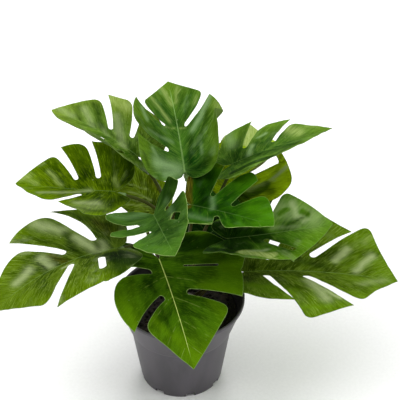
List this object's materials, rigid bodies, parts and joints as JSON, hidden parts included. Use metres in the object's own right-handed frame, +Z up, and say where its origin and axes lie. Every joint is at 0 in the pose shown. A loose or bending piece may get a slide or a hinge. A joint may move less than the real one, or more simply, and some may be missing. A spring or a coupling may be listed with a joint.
{
  "type": "artificial potted monstera bush",
  "caption": "Bushy monstera with split fabric leaves on bent plastic stems, rising from a hub in a black tapered nursery pot with a flared collar.",
  "frame": {"origin": "centre of the pot's foot, on the surface that the pot stands on", "axes": "+Z up along the pot's axis; the front of the bush faces -Y and its longest spread runs along X"},
  "size_m": [0.3754, 0.2751, 0.3001],
  "materials": {
    "leaf_green": "satin printed fabric, mid green to bright yellow-green at the lobes, pale matt underside",
    "leaf_olive": "satin printed fabric, olive green",
    "rib_green": "pale green moulded plastic",
    "stem_olive": "olive-brown moulded plastic over wire",
    "pot_black": "black nursery plastic, satin outside",
    "fill_black": "rough black potting fill",
    "hub_brown": "dark brown moulded plastic"
  },
  "bodies": {
    "root": {"pot": "pot_black", "potting_fill": "fill_black", "stem_hub": "hub_brown", "top_left_blade": "leaf_green", "top_left_rib": "rib_green", "top_left_stem": "stem_olive", "top_centre_blade": "leaf_green", "top_centre_rib": "rib_green", "top_centre_stem": "stem_olive", "upper_right_blade": "leaf_green", "upper_right_rib": "rib_green", "upper_right_stem": "stem_olive", "back_right_blade": "leaf_olive", "back_right_rib": "rib_green", "back_right_stem": "stem_olive", "left_blade": "leaf_green", "left_rib": "rib_green", "left_stem": "stem_olive", "low_left_blade": "leaf_green", "low_left_rib": "rib_green", "low_left_stem": "stem_olive", "centre_left_blade": "leaf_green", "centre_left_rib": "rib_green", "centre_left_stem": "stem_olive", "centre_right_blade": "leaf_green", "centre_right_rib": "rib_green", "centre_right_stem": "stem_olive", "right_blade": "leaf_green", "right_rib": "rib_green", "right_stem": "stem_olive", "low_right_blade": "leaf_green", "low_right_rib": "rib_green", "low_right_stem": "stem_olive", "front_blade": "leaf_green", "front_rib": "rib_green", "front_stem": "stem_olive", "back_left_blade": "leaf_olive", "back_left_rib": "rib_green", "back_left_stem": "stem_olive", "inner_right_blade": "leaf_green", "inner_right_rib": "rib_green", "inner_right_stem": "stem_olive"}
  },
  "joints": []
}
